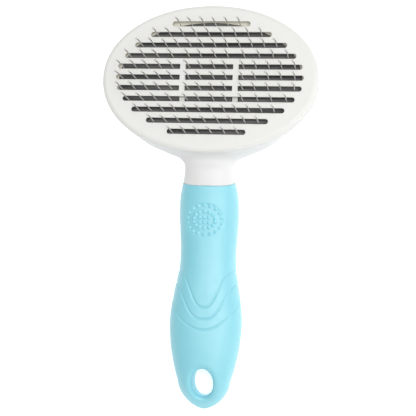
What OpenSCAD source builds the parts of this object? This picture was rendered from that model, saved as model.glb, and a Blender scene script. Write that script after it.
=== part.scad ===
// Self-cleaning slicker brush, lying on its back with the pins pointing up.
// +X is to the right, +Y towards the top of the head and +Z along the pins, in millimetres.
// The origin is the middle of the footprint, on the surface that the brush lies on.

/* [Head] */
// Half width of the oval head
head_half_w = 52.3; // [51.5:0.1:53]
// Half height of the oval head
head_half_h = 36.3; // [36:0.1:37.5]
// Distance from the middle of the brush to the middle of the head
head_y = 60; // [59:0.1:61]
// Height of the front face above the surface that the brush lies on
face_z = 42; // [41:0.1:43]
// Depth of the head shell behind its rim
bowl_depth = 26; // [25:0.5:27]
// Wall thickness of the head shell
shell_wall = 2.2; // [1.8:0.1:2.6]

/* [Face plate] */
// Thickness of the face plate over the pins
plate_t = 2; // [1.8:0.1:2.4]
// Depth of the face plate's rounded edge
plate_edge = 3; // [2.8:0.1:3.2]
// Height of one slot
slot_h = 2.4; // [2.2:0.05:2.6]
// Distance from one row of slots to the next
row_pitch = 5.3; // [5.2:0.05:5.4]
// Distance from the middle to each of the two upright bars
bar_x = 12.8; // [12.6:0.1:13]
// Width of an upright bar, and thickness of the leg under it
bar_w = 2.6; // [2.4:0.1:2.8]

/* [Pins] */
// Diameter of the pin wire
pin_d = 0.5; // [0.4:0.05:0.6]
// How far the straight part of a pin stands above the pin plate
pin_straight = 10.2; // [9:0.1:11]
// Length of the bent end of a pin
pin_bent = 3.8; // [3:0.1:4]
// Angle of the bent end, in degrees
pin_lean = 7; // [4:0.5:10]
// Diameter of the bead on the end of a pin
bead_d = 1.1; // [1:0.05:1.3]

/* [Push button] */
// Half width of the push button
button_half_w = 23.5; // [23:0.1:24]
// Half height of the push button
button_half_h = 18; // [17.5:0.1:18.5]
// Travel of the push button and the face plate
travel = 10; // [9:0.1:10]

/* [Springs] */
// Outer diameter of a return spring
spring_d = 8; // [7:0.1:8.4]
// Diameter of the spring wire
spring_wire = 0.8; // [0.6:0.1:1]
// Number of turns in a return spring
spring_turns = 7; // [5:1:8]

/* [Handle] */
// Thickness of the rubber grip over the handle core
grip_wall = 3; // [2:0.1:3.5]
// Width of the hanging hole
hole_w = 10.8; // [9:0.1:11.5]
// Length of the hanging hole
hole_l = 15; // [13:0.1:15.5]

/* [Hidden] */
$fn = 40;
rows = 11;
row_numbers = [1 : rows];
mid_row = 6;
gap = 0.25;                      // gap that hides a joint line or lets a part slide
thin = 0.02;                     // thickness of the slices that a hull joins

// Half length of each row of slots, from the first row to the middle one
slot_half = [18.8, 29.2, 36.7, 41.3, 44.4, 45.2];
// Number of pins in each row, and their spacing
row_pins = [6, 9, 12];
row_spacing = [5.8, 6.3, 5.9];
last_row_spacing = 6.3;
// Half of the pins of a row that the two upright bars part, and of the rows just above and below those
parted_pins = [3.1, 8.9, 17.1, 23, 29.2, 35.2, 41.6];
near_pins = [3.5, 9.4, 17.3, 24.4, 31, 38];
first_parted_row = 5;
last_parted_row = 7;
// The pins stand a little to the left of the middle and a little below the middle of their slots
pin_shift = -0.5;
pin_drop = 0.3;
end_pin_drop = 0.5;

function mirror_row(r) = (r <= mid_row ? r : 2 * mid_row - r) - 1;
function is_parted(r) = r >= first_parted_row && r <= last_parted_row;
function row_y(r) = head_y + (mid_row - r) * row_pitch;
function is_near(r) = r == first_parted_row - 1 || r == last_parted_row + 1;
function pin_y(r) = row_y(r) - (r == 1 ? end_pin_drop : pin_drop);
function both_sides(half) = concat([for (x = half) pin_shift - x], [for (x = half) pin_shift + x]);
function pin_xs(r) =
    is_parted(r) ? both_sides(parted_pins)
    : is_near(r) ? both_sides(near_pins)
    : let (
        n = row_pins[mirror_row(r)],
        s = r == rows ? last_row_spacing : row_spacing[mirror_row(r)]
    )
    [for (i = [0 : n - 1]) pin_shift + (i - (n - 1) / 2) * s];
function row_name(kind, r) = str(kind, r < 10 ? "_0" : "_", r);

// The head's outline is a little fuller than an ellipse, and so is the curve down its bowl
head_power = 2.05;
bowl_power = 2.6;

// Levels of the stack in the head, from the face down
edge_z = face_z - plate_edge;            // underside of the face plate's edge
rim_z = edge_z - gap;                    // rim of the head shell
plate_under_z = face_z - plate_t;        // underside of the face plate over the pins
pin_plate_z = face_z - 3;                // top of the pin plate
pin_plate_t = 2.5;
pin_plate_under = pin_plate_z - pin_plate_t;
backing_t = 1.6;
backing_under = pin_plate_under - backing_t;
pin_head_t = 0.4;
pin_head_r = 0.45;
pin_fit = 0.02;                          // radial clearance of a pin in its hole
bend_r = 4;                              // radius of the bend in a pin
pin_end_d = pin_d - 0.04;                // the bent end is ground a little thinner
end_root = 0.1;                          // how far that end reaches into the bend

// Outline of the pin plate, which is a little fuller than an ellipse and sits a little low in the head
field_half_w = 44.3;
field_half_h = 28.75;
field_power = 2.06;
field_drop = 1;

// Windows that let the legs of the face plate through the pin plate
leg_top = 8.2;
leg_bottom = -8.2;
window_top = 8.7;
window_bottom = -12.4;
window_w = bar_w + 0.7;
leg_end_z = 3.4;
gusset_z = 30;                           // levels of the gusset that stiffens a leg on its lower side
gusset_top = plate_under_z - 1;
gusset_out = 3.8;

// Lugs of the pin plate, which are screwed to the shell's bosses
lug_x = 24.5;
lug_y = 24.8;
lug_r = 3;
lug_top = pin_plate_z - 1.6;
lug_t = 2.4;

// Bezel that lies on the lugs and fills the head round the pin plate
bezel_z = lug_top;
bezel_t = 1.5;
bezel_inset = shell_wall + 0.3;          // distance of the bezel's edge from the head's outline
bezel_fit = 0.15;                        // clearance round the pin plate
screw_room = 0.3;                        // clearance round a screw's head

// Bosses, webs and screws
boss_foot = 20;
web_w = 5;
web_t = 0.9;
screw_r = 1.1;
screw_head_r = 1.9;
screw_head_t = 1.3;
screw_l = 9;

// Push button: a cup with a flange at the top that the shell's collar holds back
button_wall = 2;
pad_t = 1.4;
button_floor_z = 3.2;
collar_top = 17;
collar_t = 2.2;
flange_z = collar_top + gap;
flange_t = 2;
flange_out = 2.5;
flange_room = 0.4;
socket_wall = 1.4;
socket_fit = 0.15;
socket_top = 14;
barb_z = 9;
barb_l = 2.4;
barb_out = 0.8;

// Springs and the posts at their two ends
spring_y = 8;
post_r = 2.6;
low_post_l = 5;
high_post_l = 5;
spring_low = button_floor_z + 0.05;
spring_high = backing_under - 0.05;
coil_steps = 12;
coil_sides = 8;
end_turns = 1;

// Stop posts that end the push at the full travel
stop_x = 24;
stop_r = 1.5;
stop_z = flange_z + flange_t + travel + gap;

// Stations of the neck and handle: distance from the middle of the head towards the handle's end,
// half width, half thickness and height of the middle above the surface
stations = [
    [22, 35, 5.6, 32.2],
    [27, 32.5, 6, 31.4],
    [30.3, 29, 6.8, 30.4],
    [32.4, 25, 7.3, 29.6],
    [34.2, 20.6, 7.8, 28.7],
    [36, 15.6, 8.4, 27.6],
    [38, 12.9, 8.8, 26.2],
    [40.2, 12, 9, 25],
    [43, 12, 9.2, 23.6],
    [47.2, 13.1, 10, 22],
    [51, 14.3, 10.5, 20.8],
    [56, 14.6, 10.7, 19.4],
    [63, 14.6, 10.8, 17.7],
    [71, 14.4, 10.6, 15.9],
    [80, 14.1, 10.3, 14.5],
    [89, 14.2, 10.5, 13.6],
    [100, 16.5, 11, 12.9],
    [113, 17.8, 11.3, 12],
    [126, 16.9, 10.6, 10.8],
    [137, 14.9, 9.3, 9.5],
    [143, 13.1, 8.3, 8.6]
];
last = len(stations) - 1;
section_power = 2.3;
tip_l = 13.3;                    // length of the rounded end below the last station
tip_drop = 3.2;                  // how far the middle of that end sinks
tip_slices = 7;
grip_top = 47.2;                   // where the grip meets the neck, at the middle of its thickness
grip_top_z = 22;
grip_tilt = 21;                  // tilt of that joint, square to the handle
core_end = 133;
hole_at = 143;
hole_z = 8;
hole_tilt = 11;                  // tilt of the hanging hole, square to the end of the handle

// A superellipse with half axes a and b
function oval(a, b, power = 2, n = 96) = [
    for (i = [0 : n - 1])
        let (c = cos(360 * i / n), s = sin(360 * i / n))
        [a * sign(c) * pow(abs(c), 2 / power), b * sign(s) * pow(abs(s), 2 / power)]
];

// A smooth curve through the stations: t = 0 is the first one and t = last the last one
function catmull(a, b, c, d, u) =
    0.5 * (2 * b + (c - a) * u + (2 * a - 5 * b + 4 * c - d) * u * u
        + (3 * b - a - 3 * c + d) * u * u * u);
function station(t) =
    let (i = min(floor(t), last - 1))
    catmull(stations[max(i - 1, 0)], stations[i], stations[i + 1], stations[min(i + 2, last)], t - i);

// The rounded end of the handle, shrunk along a quarter of an ellipse by the angle a
function tip_station(a) =
    let (s = stations[last])
    [s[0] + tip_l * sin(a), s[1] * cos(a), s[2] * pow(cos(a), 1.6), s[3] - tip_drop * sin(a)];

function handle_slices() = concat(
    [for (t = [0 : 0.5 : last - 0.5]) station(t)],
    [for (k = [0 : tip_slices]) tip_station(min(90 * k / tip_slices, 87))]
);

module slice(s, inset = 0) {
    translate([0, head_y - s[0], s[3]])
        rotate([90, 0, 0])
            linear_extrude(thin)
                polygon(oval(s[1] - inset, s[2] - inset, section_power, 40));
}

// One smooth solid through a list of slices, each turned in by inset
module loft(list, inset = 0) {
    for (i = [0 : len(list) - 2])
        hull() {
            slice(list[i], inset);
            slice(list[i + 1], inset);
        }
}

// Everything on the handle's side of the joint between neck and grip
module below_joint() {
    translate([0, head_y - grip_top, grip_top_z])
        rotate([grip_tilt, 0, 0])
            translate([-60, -150, -60])
                cube([120, 150, 120]);
}

module handle_core() {
    slices = [for (s = handle_slices()) if (s[0] > 40 && s[0] < core_end) s];
    loft(slices, grip_wall);
}

module neck() {
    slices = [for (s = handle_slices()) if (s[0] < 66) s];
    difference() {
        loft(slices);
        below_joint();
    }
}

// Depth below the rim at which the head shell has shrunk to the fraction s of its full outline
function bowl_z(s) = rim_z - bowl_depth * pow(1 - pow(s, bowl_power), 1 / bowl_power);

module bowl(inset) {
    hull() {
        for (s = [1, 0.99, 0.97, 0.93, 0.87, 0.78, 0.66, 0.55])
            translate([0, head_y, bowl_z(s) + inset * (1 - pow(s, 4))])
                linear_extrude(thin)
                    polygon(oval(head_half_w * s - inset, head_half_h * s - inset, head_power, 80));
        translate([0, head_y, rim_z - thin])
            linear_extrude(thin)
                polygon(oval(head_half_w - inset, head_half_h - inset, head_power, 80));
    }
}

module button_outline(h, grow = 0) {
    linear_extrude(h)
        polygon(oval(button_half_w + grow, button_half_h + grow, 2.2));
}

module at_lugs() {
    for (x = [-lug_x, lug_x], y = [-lug_y, lug_y])
        translate([x, head_y + y, 0])
            children();
}

module at_springs() {
    for (y = [-spring_y, spring_y])
        translate([0, head_y + y, 0])
            children();
}

module at_bars() {
    for (x = [-bar_x, bar_x])
        translate([x, head_y, 0])
            children();
}

module back_shell() {
    color("white")
    difference() {
        union() {
            difference() {
                union() {
                    bowl(0);
                    neck();
                }
                bowl(shell_wall);
                translate([0, head_y, rim_z - 0.5])
                    linear_extrude(5)
                        polygon(oval(head_half_w - shell_wall, head_half_h - shell_wall, head_power, 80));
            }
            handle_core();
            // Guide collar around the push button
            translate([0, head_y, collar_top - 5])
                button_outline(5, collar_t + gap);
            // Bosses for the screws, standing in the bowl
            intersection() {
                at_lugs()
                    translate([0, 0, boss_foot])
                        cylinder(r = lug_r, h = lug_top - lug_t - boss_foot);
                bowl(shell_wall / 2);
            }
        }
        translate([0, head_y, 0])
            button_outline(collar_top + 5, gap);
        // Room for the button's flange over its whole travel
        translate([0, head_y, collar_top])
            button_outline(travel + flange_t + 2 * gap, flange_out + flange_room);
        at_lugs()
            translate([0, 0, lug_top - screw_l + 0.6])
                cylinder(r = screw_r + 0.05, h = screw_l);
    }
}

module hanging_hole() {
    end = (hole_l - hole_w) / 2;
    translate([0, head_y - hole_at, hole_z])
        rotate([hole_tilt, 0, 0])
            hull()
                for (y = [-end, end])
                    translate([0, y, -30])
                        cylinder(d = hole_w, h = 60);
}

module grip_sleeve() {
    slices = [for (s = handle_slices()) if (s[0] > 40) s];
    color("skyblue")
    difference() {
        intersection() {
            loft(slices);
            below_joint();
        }
        handle_core();
        hanging_hole();
    }
}

// A slab with the pin plate's outline, grown a little, from a level up
module field(z, h, grow = 0) {
    translate([0, head_y - field_drop, z])
        linear_extrude(h)
            polygon(oval(field_half_w + grow, field_half_h + grow, field_power));
}

module plate_bezel() {
    color("ivory")
    difference() {
        translate([0, head_y, bezel_z])
            linear_extrude(bezel_t)
                polygon(oval(head_half_w - bezel_inset, head_half_h - bezel_inset, head_power));
        field(bezel_z - 1, bezel_t + 2, bezel_fit);
        at_lugs()
            translate([0, 0, bezel_z - 1])
                cylinder(r = screw_head_r + screw_room, h = bezel_t + 2);
    }
}

module pin_plate() {
    color([0.16, 0.16, 0.17])
    difference() {
        union() {
            field(pin_plate_under, pin_plate_t);
            at_lugs()
                translate([0, 0, lug_top - lug_t])
                    cylinder(r = lug_r, h = lug_t);
            // Webs that join the lugs to the plate
            for (x = [-1, 1], y = [-1, 1])
                translate([x * (lug_x - web_w / 2), head_y + y * (lug_y - 3), pin_plate_under + web_t / 2])
                    cube([web_w, web_w, web_t], center = true);
        }
        for (r = row_numbers, x = pin_xs(r))
            translate([x, pin_y(r), pin_plate_under - 1]) {
                cylinder(r = pin_d / 2 + pin_fit, h = pin_plate_t + 2);
                cylinder(r = pin_head_r + 0.05, h = 1 + pin_head_t);
            }
        windows(pin_plate_under - 1, pin_plate_t + 2);
        at_lugs() {
            translate([0, 0, lug_top - lug_t - 1])
                cylinder(r = screw_r + 0.15, h = lug_t + 2);
            translate([0, 0, lug_top])
                cylinder(r = screw_head_r + screw_room, h = pin_plate_z - lug_top + 1);
        }
    }
}

module windows(z, h) {
    at_bars()
        translate([-window_w / 2, window_bottom, z])
            cube([window_w, window_top - window_bottom, h]);
}

module pin_backing_plate() {
    color([0.2, 0.2, 0.21])
    union() {
        difference() {
            field(backing_under, backing_t, -0.5);
            windows(backing_under - 1, backing_t + 2);
            // Scallops that keep clear of the lugs and the bosses
            at_lugs()
                translate([0, 0, backing_under - 1])
                    cylinder(r = lug_r + gap, h = backing_t + 2);
        }
        at_springs()
            translate([0, 0, backing_under - high_post_l])
                cylinder(r = post_r, h = high_post_l);
        for (x = [-stop_x, stop_x])
            translate([x, head_y, stop_z])
                cylinder(r = stop_r, h = backing_under - stop_z);
    }
}

module plate_screws() {
    color("silver")
    at_lugs() {
        difference() {
            translate([0, 0, lug_top])
                cylinder(r = screw_head_r, h = screw_head_t);
            // Cross recess
            for (a = [0, 90])
                rotate([0, 0, a])
                    translate([-1.1, -0.25, lug_top + screw_head_t - 0.7])
                        cube([2.2, 0.5, 1]);
        }
        translate([0, 0, lug_top - screw_l + 1.2])
            cylinder(r = screw_r, h = screw_l - 1.2);
    }
}

module slot(r) {
    half = slot_half[mirror_row(r)];
    inner = bar_x + bar_w / 2;
    difference() {
        translate([0, row_y(r), plate_under_z - 2]) {
            translate([-half + slot_h / 2, -slot_h / 2, 0])
                cube([2 * half - slot_h, slot_h, 6]);
            for (x = [-1, 1])
                translate([x * (half - slot_h / 2), 0, 0])
                    cylinder(d = slot_h, h = 6);
        }
        if (is_parted(r))
            at_bars()
                translate([-bar_w / 2, -30, 0])
                    cube([bar_w, 60, 60]);
    }
}

module face_plate() {
    color("white")
    union() {
        difference() {
            hull()
                for (e = [[0, 0], [1.6, 0], [2.4, 0.35], [2.8, 0.9], [3, 1.8]])
                    translate([0, head_y, edge_z])
                        linear_extrude(e[0])
                            polygon(oval(head_half_w - 0.2 - e[1], head_half_h - 0.2 - e[1], head_power));
            // Recess over the pin plate
            translate([0, head_y, edge_z - 1])
                linear_extrude(plate_under_z - edge_z + 1)
                    polygon(oval(head_half_w - 2.4, head_half_h - 2.4, head_power));
            for (r = row_numbers)
                slot(r);
        }
        // Legs, each with a gusset on its lower side and a barb that snaps into the push button
        at_bars() {
            translate([-bar_w / 2, leg_bottom, leg_end_z])
                cube([bar_w, leg_top - leg_bottom, plate_under_z - leg_end_z + 0.5]);
            translate([-bar_w / 2, leg_bottom - gusset_out, gusset_z])
                cube([bar_w, gusset_out + 1, gusset_top - gusset_z]);
        }
        for (x = [-1, 1])
            translate([x * bar_x, head_y, barb_z])
                flip_x(x)
                    rotate([90, 0, 0])
                        translate([0, 0, -3])
                            linear_extrude(6)
                                polygon([
                                    [bar_w / 2 - 0.1, 0],
                                    [bar_w / 2, 0],
                                    [bar_w / 2 + barb_out, barb_l],
                                    [bar_w / 2 - 0.1, barb_l]
                                ]);
    }
}

// Mirrors its children in X where side is -1
module flip_x(side) {
    if (side < 0)
        mirror([1, 0, 0])
            children();
    else
        children();
}

module release_button() {
    socket_in = [bar_w + 2 * socket_fit, leg_top - leg_bottom + 2 * socket_fit];
    color("white")
    difference() {
        union() {
            difference() {
                translate([0, head_y, pad_t])
                    button_outline(flange_z + flange_t - pad_t);
                translate([0, head_y, button_floor_z])
                    button_outline(40, -button_wall);
            }
            // Flange that rests on the shell's collar
            translate([0, head_y, flange_z])
                difference() {
                    button_outline(flange_t, flange_out);
                    translate([0, 0, -1])
                        button_outline(flange_t + 2, -button_wall);
                }
            // Sockets for the legs
            at_bars()
                translate([0, 0, (button_floor_z + socket_top) / 2])
                    cube([
                        socket_in[0] + 2 * socket_wall,
                        socket_in[1] + 2 * socket_wall,
                        socket_top - button_floor_z
                    ], center = true);
            // Posts that centre the springs
            at_springs()
                translate([0, 0, button_floor_z - 0.5])
                    cylinder(r = post_r, h = low_post_l + 0.5);
        }
        at_bars()
            translate([-socket_in[0] / 2, -socket_in[1] / 2, leg_end_z - 0.1])
                cube([socket_in[0], socket_in[1], 30]);
        // Windows that the barbs catch in
        for (x = [-1, 1])
            translate([x * (bar_x + bar_w / 2 + 1), head_y, barb_z + barb_l / 2])
                cube([2.4, 6.6, barb_l + 0.6], center = true);
    }
}

module button_pad() {
    color("skyblue")
    translate([0, head_y, 0])
        hull() {
            button_outline(thin, -2.4);
            translate([0, 0, 0.4])
                button_outline(thin, -1.4);
            translate([0, 0, pad_t - thin])
                button_outline(thin, -0.6);
        }
}

// Height of the coil's centre line after a number of turns: its end turns lie flat
function coil_rise(turn, h) =
    let (
        free = spring_turns - 2 * end_turns,
        flat = spring_wire,
        middle = h - spring_wire - 2 * flat * end_turns
    )
    turn < end_turns ? turn * flat
    : turn > spring_turns - end_turns ? h - spring_wire - (spring_turns - turn) * flat
    : end_turns * flat + (turn - end_turns) * middle / free;

module return_spring(side) {
    h = spring_high - spring_low;
    mean_r = (spring_d - spring_wire) / 2;
    rings = spring_turns * coil_steps;
    points = [
        for (k = [0 : rings], j = [0 : coil_sides - 1])
            let (
                turn = k / coil_steps,
                a = 360 * turn,
                b = 360 * j / coil_sides,
                r = mean_r + spring_wire / 2 * cos(b)
            )
            [r * cos(a), r * sin(a), spring_wire / 2 + coil_rise(turn, h) + spring_wire / 2 * 0.98 * sin(b)]
    ];
    sides = [
        for (k = [0 : rings - 1], j = [0 : coil_sides - 1])
            let (n = (j + 1) % coil_sides)
            [k * coil_sides + j, k * coil_sides + n, (k + 1) * coil_sides + n, (k + 1) * coil_sides + j]
    ];
    start_cap = [[for (j = [0 : coil_sides - 1]) coil_sides - 1 - j]];
    end_cap = [[for (j = [0 : coil_sides - 1]) rings * coil_sides + j]];
    color("silver")
    translate([0, head_y + side * spring_y, spring_low])
        polyhedron(points = points, faces = concat(sides, start_cap, end_cap), convexity = 10);
}

// The frame of a pin's bent end, which starts where the bend in the wire stops
module past_bend() {
    translate([
        bend_r * (cos(pin_lean) - 1),
        0,
        pin_plate_z + pin_straight + bend_r * sin(pin_lean)
    ])
        rotate([0, -pin_lean, 0])
            children();
}

// One pin: a head held between the plates, a straight shaft, a bend and a leaning end
module pin() {
    translate([0, 0, pin_plate_under])
        cylinder(r = pin_head_r, h = pin_head_t);
    translate([0, 0, pin_plate_under])
        cylinder(d = pin_d, h = pin_plate_t + pin_straight);
    translate([-bend_r, 0, pin_plate_z + pin_straight])
        rotate([90, 0, 0])
            rotate_extrude(angle = pin_lean)
                translate([bend_r, 0])
                    circle(d = pin_d);
    past_bend()
        translate([0, 0, -end_root])
            cylinder(d = pin_end_d, h = pin_bent - bead_d / 2 + end_root);
}

module pin_row(r) {
    color("gainsboro")
    for (x = pin_xs(r))
        translate([x, pin_y(r), 0])
            pin();
}

module bead() {
    past_bend()
        difference() {
            translate([0, 0, pin_bent - bead_d / 2])
                sphere(d = bead_d);
            cylinder(r = pin_d / 2 + pin_fit, h = pin_bent - bead_d / 2 + pin_fit);
        }
}

module pin_tips_row(r) {
    color("white")
    for (x = pin_xs(r))
        translate([x, pin_y(r), 0])
            bead();
}

back_shell();
grip_sleeve();
plate_bezel();
pin_plate();
pin_backing_plate();
plate_screws();
face_plate();
release_button();
button_pad();
return_spring(1);  // return_spring_upper
return_spring(-1);  // return_spring_lower
for (r = row_numbers) {
    pin_row(r);
    pin_tips_row(r);
}
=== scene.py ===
"""The looks of the slicker brush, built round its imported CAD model.

Lengths are in millimetres, in the frame's own axes, until piece() turns them into metres.
The brush lies on its back: +X is to the right, +Y towards the top of the head and +Z along the pins.
"""

import math
import random

import bmesh
import bpy
import numpy as np
import openvdb
from mathutils import Matrix, Vector


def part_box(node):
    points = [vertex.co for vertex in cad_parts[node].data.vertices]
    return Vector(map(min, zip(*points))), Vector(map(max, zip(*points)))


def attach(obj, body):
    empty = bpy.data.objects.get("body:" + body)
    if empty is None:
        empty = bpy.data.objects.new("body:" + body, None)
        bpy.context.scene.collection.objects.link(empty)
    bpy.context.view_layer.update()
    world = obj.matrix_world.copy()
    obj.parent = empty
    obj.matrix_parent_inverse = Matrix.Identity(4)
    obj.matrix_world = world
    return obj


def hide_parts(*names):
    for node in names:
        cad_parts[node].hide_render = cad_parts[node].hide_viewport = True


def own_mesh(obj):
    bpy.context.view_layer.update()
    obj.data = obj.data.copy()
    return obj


MM = 0.001
BRUSH, PLATE = "brush_frame", "cleaning_plate"

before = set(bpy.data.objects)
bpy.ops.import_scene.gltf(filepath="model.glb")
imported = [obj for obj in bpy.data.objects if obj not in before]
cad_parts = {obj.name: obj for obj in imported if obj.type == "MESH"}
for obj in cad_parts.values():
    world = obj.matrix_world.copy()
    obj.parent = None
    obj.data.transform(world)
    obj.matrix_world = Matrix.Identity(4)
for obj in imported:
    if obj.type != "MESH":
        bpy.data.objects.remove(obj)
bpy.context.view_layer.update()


# ---------------------------------------------------------------- sizes

def box_mm(node):
    """Lowest and highest corner of a CAD node, in millimetres."""
    low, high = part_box(node)
    return np.array(low) / MM, np.array(high) / MM


_, shell_high = box_mm("back_shell")
plate_low, plate_high = box_mm("face_plate")
_, pin_plate_high = box_mm("pin_plate")
button_low, button_high = box_mm("release_button")
pad_low, pad_high = box_mm("button_pad")
spring_low, spring_high = box_mm("return_spring_upper")

head_y = (plate_low[1] + plate_high[1]) / 2
head_half_w = shell_high[0]
head_half_h = shell_high[1] - head_y
rim_z = shell_high[2]
face_z = plate_high[2]

# Head shell
head_power = 2.05
bowl_depth = 26
bowl_power = 2.6
shell_wall = 2.2
collar_low, collar_high = 12, 17
collar_wall = 2.45
collar_round, collar_root = 1.6, 1.8
collar_mouth_round = 0.9
wall_round = 0.6
lug_x, lug_y, lug_r = 24.5, 24.8, 3
boss_low, boss_high = 20, 35
boss_sunk = 0.8
boss_round, boss_root = 0.8, 1
neck_end_round, neck_root = 1.5, 3

# Face plate
plate_t = 2
edge_z = rim_z + 0.08
edge_bevel = 0.15
rim_round_w, rim_round_h = 2.3, 2.3
rim_lip = 2.2
slot_h = 2.4
slot_round, slot_draft = 0.35, 0.4
row_pitch = 5.3
rows = 11
slot_half = [18.8, 29.2, 36.7, 41.3, 44.4, 45.2, 44.4, 41.3, 36.7, 29.2, 18.8]
parted_rows = (4, 5, 6)
bar_x, bar_w = 12.8, 2.6
leg_half_l = 8.2
leg_round, gusset_round = 0.4, 0.3
foot_bevel, foot_h, leg_sunk = 0.5, 0.6, 0.6
gusset_out, gusset_low = 3.8, 30

# Pins, and how far each one may differ from the others
pin_r = 0.28
pin_end_thinning = [0.01, 0.03]
pin_head_r, pin_head_t = 0.45, 0.4
pin_straight = 10.2
pin_bent = 3.8
pin_lean = 7
pin_fan = 0.0005
bend_r = 4
bead_r = 0.55
lean_spread, swing_spread = (-3.5, 2.5), (-9, 9)
tilt_x_spread, tilt_y_spread = (-0.014, 0.014), (-0.012, 0.012)
short_spread = (0.1, 0.35)
bead_sizes, bead_lengths = (0.9, 1.0), (0.85, 0.95)
pin_seed = 11

# Push button
button_half_w, button_half_h = 23.5, 18
button_power = 2.2
flange_low, flange_out = 17.25, 2.5
button_wall, button_floor = 2, 3.2
button_gap, flange_gap = 0.25, 0.4
button_edge, button_round = 3.5, 0.8
socket_wall, socket_top = 1.5, 14
leg_fit = 0.2
post_r, post_top = 2.6, 8.2
inner_sunk, inner_root = 0.4, 0.7

# Pad: ovals of dots round one in the middle, with the number of dots in each
pad_inset, pad_round = 0.7, 0.8
pad_dot_r, pad_dot_h, pad_dot_root = 1.15, 0.35, 0.3
pad_ring_step = (5.4, 4.1)
pad_ring_dots = [6, 13, 20]

# Springs
spring_y = 8
spring_r, wire_r = 3.6, 0.4
spring_turns, end_turns = 7, 1

# Stations of the neck and handle: distance from the middle of the head, half width, half thickness,
# and height of the section's middle
stations = [
    (22, 35, 5.6, 32.2),
    (27, 32.5, 6, 31.4),
    (30.3, 29, 6.8, 30.4),
    (32.4, 25, 7.3, 29.6),
    (34.2, 20.6, 7.8, 28.7),
    (36, 15.6, 8.4, 27.6),
    (38, 12.9, 8.8, 26.2),
    (40.2, 12, 9, 25),
    (43, 12, 9.2, 23.6),
    (47.2, 12.7, 10, 22),
    (51, 13.6, 10.5, 20.8),
    (56, 14.3, 10.7, 19.4),
    (63, 14.5, 10.8, 17.7),
    (71, 14.1, 10.6, 15.9),
    (80, 13.6, 10.3, 14.5),
    (89, 13.9, 10.5, 13.6),
    (100, 15.9, 11, 12.9),
    (113, 17.55, 11.3, 12),
    (126, 16.8, 10.6, 10.8),
    (137, 14.6, 9.3, 9.5),
    (143, 12.8, 8.3, 8.6),
]
section_power = 2.3
tip_l, tip_drop, tip_thin, tip_power = 13.3, 3.2, 1.6, 1.7
joint_d, joint_z, joint_tilt = 47.2, 22, math.radians(21)
neck_joint_round, grip_joint_round = 0.12, 0.15

# Hanging hole
hole_d, hole_z, hole_tilt = 143, 8, math.radians(11)
hole_half_w, hole_half_l = 5.2, 7.1
hole_flare = 3.4

# Thumb patch: an oval dish with rings of dots. A ring has its count, half axes and turn, in steps
patch_x, patch_d = -1, 66.6
patch_half = (10, 8)
patch_depth, patch_edge = 0.3, (0.9, 1.04)
dot_rings = [(18, 8.8, 6.9, 0.5), (14, 5.45, 3.9, 0.5)]
dot_columns, dot_rows_y, dot_step_x, dot_step_y = 3, 2, 2.25, 2.5
dot_r, dot_h = 0.72, 0.55

# Grooves: distance of the lowest point, rise, spread and power of the curve
grooves = [(108.1, 18.3, 8.6, 2.6), (113.7, 18, 11.3, 3), (118.9, 60, 38, 2)]
groove_w, groove_depth = 0.42, 0.4
# Where the relief fades out on the back, as shares of the way from the middle of the front to the side
relief_fade = (1.12, 1.35)


# ---------------------------------------------------------------- solids as fields

def grid_of(low, high, step):
    """X, Y and Z of a regular grid, each as a thin array that the others broadcast with."""
    axes = [np.arange(a, b + step, step, dtype=np.float32) for a, b in zip(low, high)]
    return np.meshgrid(*axes, indexing="ij", sparse=True)


def as_distance(field, step):
    """The field scaled to be a distance in millimetres near its zero surface."""
    gx, gy, gz = np.gradient(field, step)
    return field / np.sqrt(gx * gx + gy * gy + gz * gz + 1e-6)


def blend_min(a, b, reach):
    """The union of two solids, with a fillet."""
    share = np.clip(0.5 + 0.5 * (b - a) / reach, 0, 1)
    return b + (a - b) * share - reach * share * (1 - share)


def blend_max(a, b, reach):
    """What two solids share, with a round on the edge."""
    return -blend_min(-a, -b, reach)


def superellipse(u, v, power):
    """How far a point is out from the middle, with 1 on the outline. u and v are shares of the half axes."""
    return (np.abs(u) ** power + np.abs(v) ** power) ** (1 / power)


def skin(field, low, step):
    """Points and quads of the field's zero surface."""
    reach = 3 * step
    grid = openvdb.FloatGrid(reach)
    grid.copyFromArray(np.ascontiguousarray(np.clip(field, -reach, reach), dtype=np.float32))
    points, quads = grid.convertToQuads()
    return np.asarray(points, float) * step + np.array(low, float), np.asarray(quads)


def catmull(p0, p1, p2, p3, u):
    """A point of the smooth curve from p1 to p2, at the share u of the way."""
    square, cube = 2 * p0 - 5 * p1 + 4 * p2 - p3, 3 * p1 - p0 - 3 * p2 + p3
    return 0.5 * (2 * p1 + (p2 - p0) * u + square * u**2 + cube * u**3)


def smooth_stations(per_span=24):
    """The stations with a smooth curve drawn through them."""
    s = np.array(stations, float)
    last = len(s) - 1
    rows_made = [
        catmull(s[max(i - 1, 0)], s[i], s[i + 1], s[min(i + 2, last)], k / per_span)
        for i in range(last)
        for k in range(per_span)
    ]
    return np.array(rows_made + [s[last]])


handle_curve = smooth_stations()


def handle_at(distance):
    """Half width, half thickness and middle height of the handle at a distance from the head's middle."""
    curve_d, *columns = handle_curve.T
    width, thick, middle = (np.interp(distance, curve_d, column) for column in columns)
    # the share stays short of 1, where the tip has no width left
    rise = np.clip((distance - stations[-1][0]) / tip_l, 0, 0.999)
    fall = (1 - rise**tip_power) ** (1 / tip_power)
    return width * fall, thick * fall**tip_thin, middle - tip_drop * rise


def handle_field(x, y, z, step):
    """Distance to the neck and handle, and the share of the way out from the middle of the section."""
    width, thick, middle = handle_at(head_y - y)
    out = superellipse(x / width, (z - middle) / thick, section_power)
    past_end = np.maximum(head_y - y - stations[-1][0] - tip_l, 0)
    return as_distance((out - 1) * thick + past_end, step), out


def past_joint(y, z):
    """Distance past the joint between neck and grip: positive on the grip's side."""
    return (head_y - joint_d - y) * math.cos(joint_tilt) - (z - joint_z) * math.sin(joint_tilt)


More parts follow.
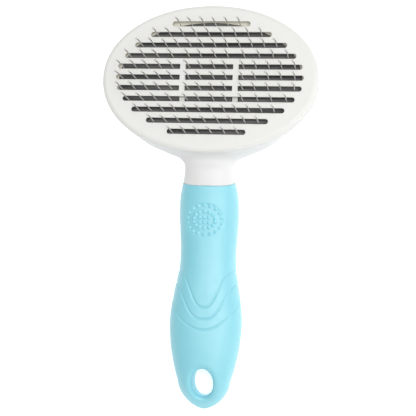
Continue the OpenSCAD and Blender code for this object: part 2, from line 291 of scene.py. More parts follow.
# ---------------------------------------------------------------- Blender objects

def smooth(mesh, sharp_from=38):
    """Smooth shading, with edges over that angle kept sharp."""
    mesh.polygons.foreach_set("use_smooth", [True] * len(mesh.polygons))
    mesh.set_sharp_from_angle(angle=math.radians(sharp_from))


def outward(bm):
    """Turns every face to look out of its solid."""
    bmesh.ops.recalc_face_normals(bm, faces=bm.faces)
    if bm.calc_volume(signed=True) < 0:
        bmesh.ops.reverse_faces(bm, faces=bm.faces)


def piece(name, bm, material, body, slot, *nodes):
    """Makes a Blender piece from a bmesh in millimetres, on a body, in place of CAD nodes."""
    mesh = bpy.data.meshes.new(name)
    bm.to_mesh(mesh)
    bm.free()
    mesh.transform(Matrix.Scale(MM, 4))
    mesh.materials.append(material)
    smooth(mesh)
    obj = bpy.data.objects.new(name, mesh)
    bpy.context.scene.collection.objects.link(obj)
    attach(obj, body)
    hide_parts(*nodes)
    return obj


def field_mesh(field, low, step):
    """A bmesh of the field's zero surface."""
    points, quads = skin(field, low, step)
    mesh = bpy.data.meshes.new("made")
    mesh.from_pydata(points.tolist(), [], quads.tolist())
    bm = bmesh.new()
    bm.from_mesh(mesh)
    bpy.data.meshes.remove(mesh)
    outward(bm)
    return bm


def add_loop(bm, points):
    """A closed ring of vertices."""
    return [bm.verts.new(p) for p in points]


def join_loops(bm, a, b):
    """Quads between two rings of the same count."""
    n = len(a)
    for i in range(n):
        bm.faces.new((a[i], a[(i + 1) % n], b[(i + 1) % n], b[i]))


def join_stack(bm, loops):
    """Quads from each ring to the next."""
    for a, b in zip(loops, loops[1:]):
        join_loops(bm, a, b)


def closed_stack(bm, loops):
    """Quads from each ring to the next, and a face at each end."""
    join_stack(bm, loops)
    bm.faces.new(loops[0])
    bm.faces.new(loops[-1])


def fill_between(bm, loops):
    """A flat fill of the first ring, less the others."""
    edges = []
    for ring in loops:
        for i, v in enumerate(ring):
            w = ring[(i + 1) % len(ring)]
            edges.append(bm.edges.get((v, w)) or bm.edges.new((v, w)))
    bmesh.ops.triangle_fill(bm, use_beauty=True, use_dissolve=False, edges=edges, normal=(0, 0, 1))


def quarter(k, steps):
    """How far in a quarter round has come at step k, and how short of its top, as shares of its radius."""
    a = math.radians(90 * k / steps)
    return 1 - math.cos(a), 1 - math.sin(a)


def oval_ring(half_w, half_h, z, count=160):
    """A ring with the head's outline, which is a little fuller than an ellipse."""
    points = []
    for i in range(count):
        c, s = math.cos(2 * math.pi * i / count), math.sin(2 * math.pi * i / count)
        out = (abs(c) ** head_power + abs(s) ** head_power) ** (-1 / head_power)
        points.append((half_w * c * out, head_y + half_h * s * out, z))
    return points


def rounded_rectangle(x0, x1, y0, y1, r_left, r_right, z, per_corner=8):
    """Outline of a rectangle whose left and right corners have their own radii."""
    corners = [
        (x1 - r_right, y0 + r_right, r_right, -90),
        (x1 - r_right, y1 - r_right, r_right, 0),
        (x0 + r_left, y1 - r_left, r_left, 90),
        (x0 + r_left, y0 + r_left, r_left, 180),
    ]
    points = []
    for cx, cy, r, start in corners:
        for k in range(per_corner):
            a = math.radians(start + 90 * k / (per_corner - 1))
            points.append((cx + r * math.cos(a), cy + r * math.sin(a), z))
    return points


# ---------------------------------------------------------------- materials

def new_material(name):
    """A material with its nodes, its links and its shader."""
    material = bpy.data.materials.new(name)
    material.use_nodes = True
    nodes = material.node_tree.nodes
    return material, nodes, material.node_tree.links, nodes["Principled BSDF"]


def noise(nodes, links, scale, detail, stretch=None, rough=0.55):
    """A noise texture in the object's own space, with scale per metre and a stretch along each axis."""
    coords = nodes.new("ShaderNodeTexCoord")
    texture = nodes.new("ShaderNodeTexNoise")
    texture.inputs["Scale"].default_value = scale
    texture.inputs["Detail"].default_value = detail
    texture.inputs["Roughness"].default_value = rough
    if stretch:
        mapping = nodes.new("ShaderNodeMapping")
        mapping.inputs["Scale"].default_value = stretch
        links.new(coords.outputs["Object"], mapping.inputs["Vector"])
        links.new(mapping.outputs["Vector"], texture.inputs["Vector"])
    else:
        links.new(coords.outputs["Object"], texture.inputs["Vector"])
    return texture.outputs["Fac"]


def ramp(nodes, links, value, *stops):
    """A colour ramp over a value. A stop is a place and a colour, or a place and a grey level."""
    node = nodes.new("ShaderNodeValToRGB")
    links.new(value, node.inputs["Fac"])
    elements = node.color_ramp.elements
    while len(elements) < len(stops):
        elements.new(0.5)
    for element, (place, colour) in zip(elements, stops):
        element.position = place
        element.color = (*colour, 1) if isinstance(colour, tuple) else (colour, colour, colour, 1)
    return node.outputs["Color"]


def bump(nodes, links, shader, height, depth):
    """Gives the shader a bump of that depth in metres."""
    node = nodes.new("ShaderNodeBump")
    node.inputs["Distance"].default_value = depth
    links.new(height, node.inputs["Height"])
    links.new(node.outputs["Normal"], shader.inputs["Normal"])


def mix(nodes, links, share, a, b, blend="MIX"):
    """Mixes two colours, each given as a socket or a colour."""
    node = nodes.new("ShaderNodeMix")
    node.data_type = "RGBA"
    node.blend_type = blend
    for socket, value in ((node.inputs["Factor"], share), (node.inputs["A"], a), (node.inputs["B"], b)):
        if isinstance(value, float):
            socket.default_value = value
        elif isinstance(value, tuple):
            socket.default_value = (*value, 1)
        else:
            links.new(value, socket)
    return node.outputs["Result"]


def moulded_plastic(name, colour, shade, roughness):
    """Moulded plastic: a slow tint, a fine spark texture and painted shade that makes hollows a little
    darker than the rest.
    """
    material, nodes, links, shader = new_material(name)
    tint = ramp(nodes, links, noise(nodes, links, 28, 4), (0.3, shade), (0.7, colour))
    pointiness = nodes.new("ShaderNodeNewGeometry").outputs["Pointiness"]
    # painted shade: hollows and creases are darkened, as shadow would darken them
    hollow = ramp(nodes, links, pointiness, (0.42, 0.95), (0.5, 1.0))
    links.new(mix(nodes, links, 1.0, tint, hollow, "MULTIPLY"), shader.inputs["Base Color"])
    patches = noise(nodes, links, 160, 5)
    gloss = ramp(nodes, links, patches, (0.3, roughness - 0.05), (0.7, roughness + 0.06))
    links.new(gloss, shader.inputs["Roughness"])
    bump(nodes, links, shader, noise(nodes, links, 2600, 2), 0.000012)
    shader.inputs["Specular IOR Level"].default_value = 0.45
    return material


def inside_patch(nodes, links):
    """1 over the thumb patch, 0 elsewhere."""
    margin, edge = 1.1, 0.9
    half_x, half_y = margin * patch_half[0], margin * patch_half[1]
    coords = nodes.new("ShaderNodeTexCoord")
    mapping = nodes.new("ShaderNodeMapping")
    mapping.inputs["Location"].default_value = (-patch_x / half_x, (patch_d - head_y) / half_y, 0)
    mapping.inputs["Scale"].default_value = (1 / (half_x * MM), 1 / (half_y * MM), 0)
    away = nodes.new("ShaderNodeVectorMath")
    away.operation = "LENGTH"
    links.new(coords.outputs["Object"], mapping.inputs["Vector"])
    links.new(mapping.outputs["Vector"], away.inputs[0])
    return ramp(nodes, links, away.outputs["Value"], (edge, 1.0), (1.0, 0.0))


def rubber(name, colour, shade):
    """Soft-touch rubber: satin, with a faint sheen, a fine matt grain, painted shade in the hollows and a
    painted highlight that makes the dots on the thumb patch paler.
    """
    roughness = 0.48
    material, nodes, links, shader = new_material(name)
    tint = ramp(nodes, links, noise(nodes, links, 40, 5), (0.3, shade), (0.72, colour))
    pointiness = nodes.new("ShaderNodeNewGeometry").outputs["Pointiness"]
    # painted shade: creases are darkened, as shadow would darken them
    hollow = ramp(nodes, links, pointiness, (0.4, 0.92), (0.5, 1.0))
    plain = mix(nodes, links, 1.0, tint, hollow, "MULTIPLY")
    # painted highlight: the dots of the thumb patch are made paler, as light catching them would make them
    raised = ramp(nodes, links, pointiness, (0.5, 1.0), (0.56, 1.15))
    dots_with_painted_highlight = mix(nodes, links, 1.0, plain, raised, "MULTIPLY")
    links.new(mix(nodes, links, inside_patch(nodes, links), plain, dots_with_painted_highlight), shader.inputs["Base Color"])
    patches = noise(nodes, links, 220, 6)
    gloss = ramp(nodes, links, patches, (0.3, roughness - 0.06), (0.7, roughness + 0.08))
    links.new(gloss, shader.inputs["Roughness"])
    bump(nodes, links, shader, noise(nodes, links, 3800, 3), 0.000016)
    shader.inputs["Specular IOR Level"].default_value = 1.0
    shader.inputs["Coat Weight"].default_value = 0.5
    shader.inputs["Coat Roughness"].default_value = 0.45
    shader.inputs["Sheen Weight"].default_value = 0.1
    shader.inputs["Sheen Roughness"].default_value = 0.4
    return material


def black_plastic(name):
    """Charcoal plate, with lengthways flow streaks and dust."""
    material, nodes, links, shader = new_material(name)
    streaks = noise(nodes, links, 110, 4, stretch=(0.3, 6, 1), rough=0.6)
    dust = noise(nodes, links, 900, 3)
    tone = ramp(nodes, links, streaks, (0.38, (0.035, 0.035, 0.035)), (0.66, (0.15, 0.147, 0.144)))
    specks = ramp(nodes, links, dust, (0.62, 0.0), (0.78, 1.0))
    links.new(mix(nodes, links, specks, tone, (0.26, 0.25, 0.245)), shader.inputs["Base Color"])
    links.new(ramp(nodes, links, streaks, (0.3, 0.42), (0.7, 0.6)), shader.inputs["Roughness"])
    bump(nodes, links, shader, noise(nodes, links, 1500, 4, stretch=(0.4, 2, 1)), 0.00003)
    return material


def pin_wire(name, root, tip):
    """Pin wire: a painted highlight makes it bright at the root, and painted shade makes it duller towards
    the end.
    """
    material, nodes, links, shader = new_material(name)
    coords = nodes.new("ShaderNodeTexCoord")
    parts = nodes.new("ShaderNodeSeparateXYZ")
    links.new(coords.outputs["Object"], parts.inputs["Vector"])
    height = nodes.new("ShaderNodeMapRange")
    height.inputs["From Min"].default_value = root * MM
    height.inputs["From Max"].default_value = tip * MM
    links.new(parts.outputs["Z"], height.inputs["Value"])
    # painted light along the wire: a painted highlight near the root, fading to painted shade towards the
    # end
    bright, middle, dull = (0.96, 0.94, 0.91), (0.68, 0.665, 0.64), (0.30, 0.29, 0.28)
    tone = ramp(nodes, links, height.outputs["Result"], (0.18, bright), (0.38, middle), (0.85, dull))
    lines = noise(nodes, links, 1400, 4, stretch=(1, 1, 0.15))
    shade = ramp(nodes, links, lines, (0.3, 0.85), (0.7, 1.0))
    links.new(mix(nodes, links, 1.0, tone, shade, "MULTIPLY"), shader.inputs["Base Color"])
    links.new(ramp(nodes, links, lines, (0.3, 0.32), (0.7, 0.44)), shader.inputs["Roughness"])
    bump(nodes, links, shader, lines, 0.000006)
    shader.inputs["Metallic"].default_value = 0.2
    return material


def steel(name, colour, dark, roughness, stretch):
    """Drawn or turned steel with fine lines along the stretch and small dull spots."""
    material, nodes, links, shader = new_material(name)
    lines = noise(nodes, links, 1400, 4, stretch=stretch)
    spots = ramp(nodes, links, noise(nodes, links, 420, 3), (0.58, 0.0), (0.8, 0.5))
    tone = ramp(nodes, links, lines, (0.3, dark), (0.7, colour))
    links.new(mix(nodes, links, spots, tone, dark), shader.inputs["Base Color"])
    gloss = ramp(nodes, links, lines, (0.3, roughness), (0.7, roughness + 0.12))
    links.new(gloss, shader.inputs["Roughness"])
    bump(nodes, links, shader, lines, 0.000006)
    shader.inputs["Metallic"].default_value = 1.0
    return material


def resin(name):
    """The drops of resin on the pin ends: pale grey to faint pink, glossy."""
    material, nodes, links, shader = new_material(name)
    pink, pale = (0.66, 0.61, 0.59), (0.68, 0.665, 0.65)
    tone = ramp(nodes, links, noise(nodes, links, 150, 2), (0.35, pink), (0.6, pale))
    links.new(tone, shader.inputs["Base Color"])
    gloss = ramp(nodes, links, noise(nodes, links, 900, 2), (0.3, 0.2), (0.7, 0.32))
    links.new(gloss, shader.inputs["Roughness"])
    bump(nodes, links, shader, noise(nodes, links, 1800, 2), 0.00002)
    return material


white_shell = moulded_plastic("white_shell", (0.83, 0.83, 0.825), (0.81, 0.81, 0.81), 0.42)
white_face = moulded_plastic("white_face", (0.865, 0.865, 0.83), (0.845, 0.845, 0.81), 0.46)
# The bezel is white plastic: its cream tint is painted shade, the warm look of white plastic in the shadow
# under the face plate.
bezel_plastic = moulded_plastic("bezel_plastic", (0.90, 0.87, 0.735), (0.86, 0.83, 0.70), 0.6)
blue_rubber = rubber("blue_rubber", (0.29, 0.735, 0.85), (0.26, 0.705, 0.825))
black_plate = black_plastic("black_plate")
pin_steel = pin_wire("pin_steel", face_z - 3, face_z + 11)
spring_steel = steel("spring_steel", (0.62, 0.62, 0.62), (0.3, 0.3, 0.31), 0.25, (1, 1, 6))
screw_steel = steel("screw_steel", (0.66, 0.65, 0.62), (0.34, 0.33, 0.32), 0.3, (3, 3, 1))
pin_resin = resin("pin_resin")


# ---------------------------------------------------------------- head shell

def head_distance(x, y, z, half_w, half_h, depth, step):
    """Distance to the bowl of the head, with upright walls above its rim."""
    across = superellipse(x / half_w, (y - head_y) / half_h, head_power)
    down = np.maximum(rim_z - z, 0) / depth
    return as_distance((superellipse(across, down, bowl_power) - 1) * depth, step)


def oval_column(x, y, grow, step, shape):
    """Distance to an upright column of the button's outline, grown all round, as a full grid."""
    half_w, half_h = button_half_w + grow, button_half_h + grow
    out = superellipse(x / half_w, (y - head_y) / half_h, button_power)
    return as_distance(np.broadcast_to((out - 1) * half_h, shape).copy(), step)


def make_neck(x, y, z, step):
    """The neck, which stops inside the bowl and at the joint with the grip."""
    neck, _ = handle_field(x, y, z, step)
    neck = blend_max(neck, y - (head_y - stations[0][0] - 1), neck_end_round)
    return blend_max(neck, past_joint(y, z) + 0 * x, neck_joint_round)


def make_head_shell():
    """The shell: bowl, neck, collar round the button and bosses for the pin plate's screws."""
    step, margin, neck_reach, lowest = 0.45, 2, 57, 9
    low = (-head_half_w - margin, head_y - neck_reach, lowest)
    high = (head_half_w + margin, head_y + head_half_h + margin, rim_z + 3)
    x, y, z = grid_of(low, high, step)
    bowl = head_distance(x, y, z, head_half_w, head_half_h, bowl_depth, step)
    solid = blend_min(bowl, make_neck(x, y, z, step), neck_root)
    collar = oval_column(x, y, collar_wall, step, bowl.shape)
    collar = blend_max(collar, np.maximum(collar_low - z, z - collar_high) + 0 * bowl, collar_round)
    solid = blend_min(solid, collar, collar_root)
    inner_w, inner_h = head_half_w - shell_wall, head_half_h - shell_wall
    inside = head_distance(x, y, z, inner_w, inner_h, bowl_depth - shell_wall, step)
    solid = blend_max(solid, -inside, wall_round)
    for side_x in (-1, 1):
        for side_y in (-1, 1):
            boss = np.hypot(x - side_x * lug_x, y - head_y - side_y * lug_y) - lug_r
            boss = np.maximum(boss + 0 * z, np.maximum(boss_low - z, z - boss_high))
            boss = blend_max(boss, bowl + boss_sunk, boss_round)
            solid = blend_min(solid, boss, boss_root)
    opening = oval_column(x, y, button_gap, step, bowl.shape)
    opening = np.maximum(opening, z - collar_high - 1 + 0 * opening)
    solid = blend_max(solid, -opening, collar_mouth_round)
    # room for the flange above the collar
    room_top = 30
    room = oval_column(x, y, flange_out + flange_gap, step, bowl.shape)
    room = np.maximum(room, np.maximum(collar_high - z, z - room_top) + 0 * room)
    bm = field_mesh(np.maximum(solid, -room), low, step)
    # the rim is cut flat
    everything = bm.verts[:] + bm.edges[:] + bm.faces[:]
    plane = {"plane_co": (0, 0, rim_z), "plane_no": (0, 0, 1)}
    cut = bmesh.ops.bisect_plane(bm, geom=everything, clear_outer=True, **plane)
    edges = [g for g in cut["geom_cut"] if isinstance(g, bmesh.types.BMEdge)]
    bmesh.ops.triangle_fill(bm, use_beauty=True, use_dissolve=False, edges=edges, normal=(0, 0, 1))
    outward(bm)
    piece("head_shell", bm, white_shell, BRUSH, "white_shell", "back_shell")


# ---------------------------------------------------------------- grip

def arc_table(ratio=0.71, count=400):
    """Length along a section's outline from the middle of its front, against the share of the half width."""
    share = np.sin(np.linspace(0, math.pi / 2, count))
    height = ratio * (1 - share**section_power) ** (1 / section_power)
    length = np.concatenate([[0], np.cumsum(np.hypot(np.diff(share), np.diff(height)))])
    return share, length


def step_up(value, start, end):
    """0 up to start and 1 from end on, with a smooth rise between."""
    t = np.clip((value - start) / (end - start), 0, 1)
    return t * t * (3 - 2 * t)


def thumb_dots():
    """Places of the thumb patch's dots, from the middle of the patch."""
    dots = []
    for count, half_x, half_y, turn in dot_rings:
        for k in range(count):
            a = 2 * math.pi * (k + turn) / count
            dots.append((half_x * math.cos(a), half_y * math.sin(a)))
    for i in range(dot_columns):
        for j in range(dot_rows_y):
            dot_x = (i - (dot_columns - 1) / 2) * dot_step_x
            dot_y = (j - (dot_rows_y - 1) / 2) * dot_step_y
            dots.append((dot_x, dot_y))
    return dots


def grip_relief(across, distance):
    """Height of the moulded detail at a length across the front and a distance from the head's middle."""
    height = np.zeros(np.broadcast(across, distance).shape)
    aside, along = across - patch_x, distance - patch_d
    patch = superellipse(aside / patch_half[0], along / patch_half[1], 2)
    height -= patch_depth * (1 - step_up(patch, *patch_edge))
    for dot_x, dot_y in thumb_dots():
        away = np.hypot(aside - dot_x, along + dot_y) / dot_r
        height += dot_h * np.sqrt(np.clip(1 - away**2, 0, 1))
    for lowest, rise, spread, power in grooves:
        reach = np.abs(across) / spread
        curve = lowest - rise * (1 - np.exp(-(reach**power)))
        slope = rise * power / spread * reach ** (power - 1) * np.exp(-(reach**power))
        away = (distance - curve) / np.sqrt(1 + slope**2)
        height -= groove_depth * np.exp(-((away / groove_w) ** 2))
    return height


def relief_at(x, y, z, out):
    """The moulded detail's height at every point of a grid."""
    least_out = 0.2
    width, _, middle = handle_at(head_y - y)
    share, length = arc_table()
    aside = np.clip(np.abs(x / width) / np.maximum(out, least_out), 0, 1)
    across = width * np.interp(aside, share, length)
    total = width * length[-1]
    across = np.where(z < middle, 2 * total - across, across) * np.sign(x)
    # the relief is worked out once on a fine grid, then looked up at every point
    fine, reach = 0.05, 48
    table = grip_relief(np.arange(-reach, reach, fine)[:, None], (head_y - y).reshape(1, -1))
    column = np.clip(((across + reach) / fine).astype(int), 0, len(table) - 1)
    relief = table[column, np.arange(y.size).reshape(1, -1, 1)]
    return relief * (1 - step_up(np.abs(across) / total, *relief_fade))


def make_grip():
    """The rubber grip, with its relief and its hanging hole."""
    step, half_w, top = 0.28, 18.5, 33
    end = stations[-1][0] + tip_l
    low = (-half_w, head_y - end - 1, -1)
    high = (half_w, head_y - joint_d + 6, top)
    x, y, z = grid_of(low, high, step)
    body, out = handle_field(x, y, z, step)
    body = body - relief_at(x, y, z, out).astype(np.float32)
    turn_y, turn_z = y - (head_y - hole_d), z - hole_z
    along = turn_y * math.cos(hole_tilt) + turn_z * math.sin(hole_tilt)
    hole = superellipse(x / hole_half_w, along / hole_half_l, 2)
    hole = as_distance((hole - 1) * hole_half_w, step)
    body = blend_max(body, -hole, hole_flare)
    body = blend_max(body, -past_joint(y, z) + 0 * x, grip_joint_round)
    piece("grip", field_mesh(body, low, step), blue_rubber, BRUSH, "blue_rubber", "grip_sleeve")


# ---------------------------------------------------------------- face plate

def slots():
    """x range of every slot, its row's y, and the radius of its left and right corners."""
    inner, square = bar_x + bar_w / 2, 0.3
    full = slot_h / 2 - 0.03
    made = []
    for r in range(rows):
        half, y = slot_half[r], head_y + (rows // 2 - r) * row_pitch
        if r in parted_rows:
            made.append((-half, -inner, y, full, square))
            made.append((-inner + bar_w, inner - bar_w, y, square, square))
            made.append((inner, half, y, square, full))
        else:
            made.append((-half, half, y, full, full))
    return made


def slot_ring(bm, slot, grow, z):
    """A ring of vertices with a slot's outline, grown all round."""
    x0, x1, y, r_left, r_right = slot
    half = slot_h / 2 + grow
    outline = rounded_rectangle(x0 - grow, x1 + grow, y - half, y + half, r_left + grow, r_right + grow, z)
    return add_loop(bm, outline)


def slot_walls(bm, slot, under):
    """A slot's walls, from the underside to the flat face. Returns their rings."""
    round_steps, flat = 4, 0.06
    walls = [slot_ring(bm, slot, slot_draft, under), slot_ring(bm, slot, 0, face_z - slot_round)]
    for k in range(1, round_steps + 1):
        inward, short = quarter(k, round_steps)
        walls.append(slot_ring(bm, slot, slot_round * inward, face_z - slot_round * short))
    walls.append(slot_ring(bm, slot, slot_round + flat, face_z))
    join_stack(bm, walls)
    return walls


def add_leg(bm, side, under):
    """A leg and the gusset on its lower side, both sunk a little into the plate."""
    inset = 0.03
    x0, x1 = side * bar_x - bar_w / 2 + inset, side * bar_x + bar_w / 2 - inset
    y0, y1 = head_y - leg_half_l, head_y + leg_half_l
    levels = [(foot_bevel, plate_low[2]), (0, plate_low[2] + foot_h), (0, under + leg_sunk)]
    leg = [
        rounded_rectangle(x0 + bevel, x1 - bevel, y0 + bevel, y1 - bevel, leg_round, leg_round, z, 4)
        for bevel, z in levels
    ]
    closed_stack(bm, [add_loop(bm, ring) for ring in leg])
    gusset = [
        rounded_rectangle(x0, x1, y0 - gusset_out, y0 + 1, gusset_round, gusset_round, z, 4)
        for z in (gusset_low, under - 1)
    ]
    closed_stack(bm, [add_loop(bm, ring) for ring in gusset])


def make_face_plate():
    """The slotted plate with its rounded rim and its two legs."""
    bm = bmesh.new()
    half_w, half_h = plate_high[0], plate_high[1] - head_y
    under = face_z - plate_t
    # the rim: a flat band on the shell, an upright edge and a rounded shoulder
    rings = [
        (rim_lip, under),
        (rim_lip, edge_z),
        (edge_bevel, edge_z),
        (0, edge_z + edge_bevel),
        (0, face_z - rim_round_h - 0.1),
    ]
    steps = 12
    for k in range(steps + 1):
        inward, short = quarter(k, steps)
        rings.append((rim_round_w * inward, face_z - rim_round_h * short))
    rings.append((rim_round_w + 0.15, face_z))
    loops = [add_loop(bm, oval_ring(half_w - inset, half_h - inset, z)) for inset, z in rings]
    join_stack(bm, loops)
    top, bottom = [loops[-1]], [loops[0]]
    for slot in slots():
        walls = slot_walls(bm, slot, under)
        bottom.append(walls[0])
        top.append(walls[-1])
    fill_between(bm, top)
    fill_between(bm, bottom)
    for side in (-1, 1):
        add_leg(bm, side, under)
    outward(bm)
    piece("slotted_face_plate", bm, white_face, PLATE, "white_face", "face_plate")


# ---------------------------------------------------------------- pins

def pin_feet(node):
    """Where the pins of a CAD row stand, in millimetres."""
    foot_h, least_gap = 0.05, 1.5
    low, _ = box_mm(node)
    points = np.array([v.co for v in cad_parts[node].data.vertices]) / MM
    feet = points[points[:, 2] < low[2] + foot_h]
    xs = np.sort(feet[:, 0])
    groups = np.split(xs, np.where(np.diff(xs) > least_gap)[0] + 1)
    y = (feet[:, 1].min() + feet[:, 1].max()) / 2
    return [((g.min() + g.max()) / 2, y) for g in groups], low[2]


def tube(bm, path, radii, sides=10):
    """A closed round tube along a path that lies nearly in one plane."""
    loops = []
    for i, p in enumerate(path):
        ahead = path[min(i + 1, len(path) - 1)] - path[max(i - 1, 0)]
        u = ahead.cross(Vector((0, 1, 0))).normalized()
        v = ahead.cross(u).normalized()
        angles = (2 * math.pi * k / sides for k in range(sides))
        loops.append(add_loop(bm, [p + radii[i] * (math.cos(a) * u + math.sin(a) * v) for a in angles]))
    closed_stack(bm, loops)


def pin_path(foot, base_z, draw):
    """Middle line of one pin with its own small bends, and the direction of its tip."""
    x, y = foot
    lean = math.radians(pin_lean + draw.uniform(*lean_spread))
    swing = math.radians(draw.uniform(*swing_spread))
    tilt_x, tilt_y = draw.uniform(*tilt_x_spread) + pin_fan * x, draw.uniform(*tilt_y_spread)
    top_z = pin_plate_high[2] + pin_straight - draw.uniform(*short_spread)
    knee = Vector((x + tilt_x * pin_straight, y + tilt_y * pin_straight, top_z))
    points = [Vector((x, y, base_z)), Vector((x, y, pin_plate_high[2])), knee]
    up, side = Vector((0, 0, 1)), Vector((-math.cos(swing), math.sin(swing), 0))
    bend_steps = 3
    for k in range(1, bend_steps + 1):
        a = lean * k / bend_steps
        points.append(knee + bend_r * ((1 - math.cos(a)) * side + math.sin(a) * up))
    way = math.sin(lean) * side + math.cos(lean) * up
    points.append(points[-1] + way * (pin_bent - bead_r))
    return points, way


def add_bead(bm, end, way, draw):
    """A drop of resin on the end of a pin."""
    size = bead_r * draw.uniform(*bead_sizes)
    turn = way.to_track_quat("Z", "Y").to_matrix().to_4x4()
    shape = Matrix.Diagonal((size, size, size * draw.uniform(*bead_lengths), 1))
    place = Matrix.Translation(end + way * size * 0.1) @ turn @ shape
    bmesh.ops.create_uvsphere(bm, u_segments=14, v_segments=10, radius=1, matrix=place)


def make_pin_row(row, draw):
    """A row of wires, each with its flat head and its bead."""
    head_bevel = 0.1
    node = f"pin_row_{row:02d}"
    feet, base_z = pin_feet(node)
    wires, beads = bmesh.new(), bmesh.new()
    for foot in feet:
        path, way = pin_path(foot, base_z, draw)
        head = [path[0], path[0] + Vector((0, 0, pin_head_t))]
        tube(wires, head, [pin_head_r, pin_head_r - head_bevel])
        thinning = [0] * (len(path) - len(pin_end_thinning)) + pin_end_thinning
        tube(wires, path, [pin_r - less for less in thinning])
        add_bead(beads, path[-1], way, draw)
    outward(wires)
    outward(beads)
    piece(f"wires_{row:02d}", wires, pin_steel, BRUSH, "pin_wire", node)
    piece(f"beads_{row:02d}", beads, pin_resin, BRUSH, "pin_bead", f"pin_tips_row_{row:02d}")


# ---------------------------------------------------------------- button, pad and springs

def block(x, y, side, grow):
    """How far out of a leg's outline a point is, grown all round."""
    return np.maximum(np.abs(x - side * bar_x) - bar_w / 2 - grow, np.abs(y - head_y) - leg_half_l - grow)


def make_button():
    """The button: a cup with a flange, sockets for the legs and posts for the springs."""
    step, margin = 0.4, 4
    low = (-button_half_w - margin, head_y - button_half_h - margin, 0.4)
    high = (button_half_w + margin, head_y + button_half_h + margin, button_high[2] + 1)
    x, y, z = grid_of(low, high, step)
    cup = oval_column(x, y, 0, step, (x.size, y.size, z.size))
    solid = blend_max(cup, button_low[2] - z + 0 * cup, button_edge)
    solid = np.maximum(solid, z - button_high[2])
    layer = np.maximum(flange_low - z, z - button_high[2]) + 0 * cup
    flange = blend_max(cup - flange_out, layer, button_round)
    solid = blend_min(solid, flange, button_round)
    hollow = np.maximum(cup + button_wall, button_floor - z)
    solid = blend_max(solid, -hollow, button_round)
    sunk = button_floor - inner_sunk
    for side in (-1, 1):
        socket = np.maximum(block(x, y, side, socket_wall) + 0 * z, np.maximum(sunk - z, z - socket_top))
        solid = blend_min(solid, socket, inner_root)
        bore = np.maximum(block(x, y, side, leg_fit) + 0 * z, button_floor + 0.1 - z)
        solid = np.maximum(solid, -bore)
        post = np.hypot(x, y - head_y - side * spring_y) - post_r
        post = np.maximum(post + 0 * z, np.maximum(sunk - z, z - post_top))
        solid = blend_min(solid, post, inner_root)
    bm = field_mesh(solid, low, step)
    piece("push_button", bm, white_shell, PLATE, "white_shell", "release_button")


def make_pad():
    """The soft pad under the button, with ovals of raised dots."""
    step, margin = 0.25, 1
    low = (-button_half_w - margin, head_y - button_half_h - margin, -margin)
    high = (button_half_w + margin, head_y + button_half_h + margin, pad_high[2] + margin)
    x, y, z = grid_of(low, high, step)
    outline = oval_column(x, y, -pad_inset, step, (x.size, y.size, z.size))
    layer = np.maximum(pad_low[2] + pad_dot_h - z, z - pad_high[2]) + 0 * outline
    solid = blend_max(outline, layer, pad_round)
    spots = [(0.0, 0.0)]
    for ring, count in enumerate(pad_ring_dots, 1):
        for k in range(count):
            a = 2 * math.pi * k / count
            spots.append((ring * pad_ring_step[0] * math.cos(a), ring * pad_ring_step[1] * math.sin(a)))
    flat = np.full((x.size, y.size, 1), 1e3, np.float32)
    for spot_x, spot_y in spots:
        flat = np.minimum(flat, np.hypot(x - spot_x, y - head_y - spot_y))
    dots = np.sqrt(flat**2 + (z - pad_low[2] - pad_dot_r) ** 2) - pad_dot_r
    below_top = 0.2
    solid = blend_min(solid, np.maximum(dots, z - pad_high[2] + below_top), pad_dot_root)
    bm = field_mesh(solid, low, step)
    piece("pad", bm, blue_rubber, PLATE, "blue_rubber", "button_pad")


def spring_rise(turn, height):
    """Rise of a spring's wire after a number of turns. The end turns lie flat on the next one."""
    flat_rise = 2 * wire_r
    middle_rise = height - flat_rise - 2 * flat_rise * end_turns
    if turn < end_turns:
        return turn * flat_rise
    if turn > spring_turns - end_turns:
        return height - flat_rise - (spring_turns - turn) * flat_rise
    return end_turns * flat_rise + (turn - end_turns) * middle_rise / (spring_turns - 2 * end_turns)


def make_spring(name, side):
    """A compression spring with closed, flat ends."""
    bm = bmesh.new()
    height = spring_high[2] - spring_low[2]
    per_turn, sides, inside_box = 32, 10, 0.99
    loops = []
    for k in range(spring_turns * per_turn + 1):
        turn = k / per_turn
        a = 2 * math.pi * turn
        middle = spring_low[2] + wire_r + spring_rise(turn, height)
        ring = []
        for j in range(sides):
            b = 2 * math.pi * j / sides
            r = spring_r + wire_r * math.cos(b)
            y = head_y + side * spring_y + r * math.sin(a)
            ring.append((r * math.cos(a), y, middle + wire_r * inside_box * math.sin(b)))
        loops.append(add_loop(bm, ring))
    closed_stack(bm, loops)
    outward(bm)
    spring = piece(f"coil_{name}", bm, spring_steel, BRUSH, "spring_steel", f"return_spring_{name}")
    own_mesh(spring)


make_head_shell()
make_grip()
make_face_plate()
pin_draw = random.Random(pin_seed)
for row in range(1, rows + 1):
    make_pin_row(row, pin_draw)
make_button()
make_pad()
make_spring("upper", 1)
make_spring("lower", -1)

# CAD nodes whose shape is right keep it and get their finish
for node_name, node_material in (
    ("plate_bezel", bezel_plastic),
    ("pin_plate", black_plate),
    ("pin_backing_plate", black_plate),
    ("plate_screws", screw_steel),
):
    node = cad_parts[node_name]
    node.data.materials.clear()
    node.data.materials.append(node_material)


# ---------------------------------------------------------------- stage, light and camera: metres and watts

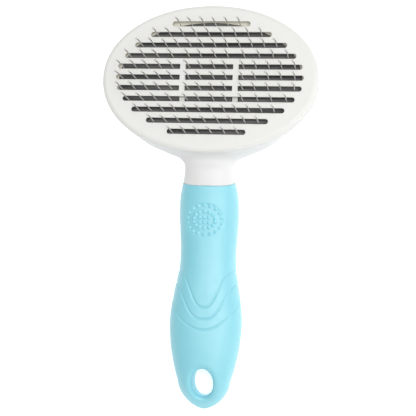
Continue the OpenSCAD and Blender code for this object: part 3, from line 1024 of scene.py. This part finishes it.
def make_floor(size=8):
    """A plain white floor that shines a little, so that it stays white in the shade."""
    bpy.ops.mesh.primitive_plane_add(size=size, location=(0, 0, 0))
    floor = bpy.context.object
    floor.name = "floor"
    material, nodes, links, shader = new_material("floor")
    tone = ramp(nodes, links, noise(nodes, links, 6, 2), (0.3, 0.9), (0.7, 0.92))
    links.new(tone, shader.inputs["Base Color"])
    shader.inputs["Roughness"].default_value = 0.9
    shader.inputs["Specular IOR Level"].default_value = 0.1
    shader.inputs["Emission Color"].default_value = (1, 1, 1, 1)
    shader.inputs["Emission Strength"].default_value = 0.5
    floor.data.materials.append(material)


def area_light(name, place, aim, size, power):
    """A round white lamp that faces a point."""
    data = bpy.data.lights.new(name, "AREA")
    data.shape = "DISK"
    data.size = size
    data.energy = power
    light = bpy.data.objects.new(name, data)
    light.location = place
    light.rotation_euler = (Vector(aim) - Vector(place)).to_track_quat("-Z", "Y").to_euler()
    bpy.context.scene.collection.objects.link(light)


def make_world(strength):
    """White light from all round."""
    world = bpy.data.worlds.new("studio")
    world.use_nodes = True
    background = world.node_tree.nodes["Background"]
    background.inputs["Color"].default_value = (1, 1, 1, 1)
    background.inputs["Strength"].default_value = strength
    bpy.context.scene.world = world


def make_camera():
    """The camera, placed from the middle of the head and turned in radians."""
    right, below, above = 81.95, 138.6, 532.7
    turn_x, turn_y, turn_z = 0.15293, 0.15768, 0.02719
    data = bpy.data.cameras.new("camera")
    data.lens = 93.2
    data.sensor_width = 36
    camera = bpy.data.objects.new("camera", data)
    camera.matrix_world = (
        Matrix.Translation(Vector((right, head_y - below, above)) * MM)
        @ Matrix.Rotation(turn_x, 4, "X")
        @ Matrix.Rotation(turn_y, 4, "Y")
        @ Matrix.Rotation(turn_z, 4, "Z")
    )
    bpy.context.scene.collection.objects.link(camera)
    bpy.context.scene.camera = camera


make_floor()
make_world(strength=0.28)
area_light("key", place=(0.45, -0.05, 1.7), aim=(0, 0.03, 0.02), size=2.0, power=28)
area_light("side", place=(1.4, -0.5, 0.6), aim=(0, -0.05, 0.02), size=1.0, power=1.7)
make_camera()
bpy.context.scene.view_settings.view_transform = "Standard"
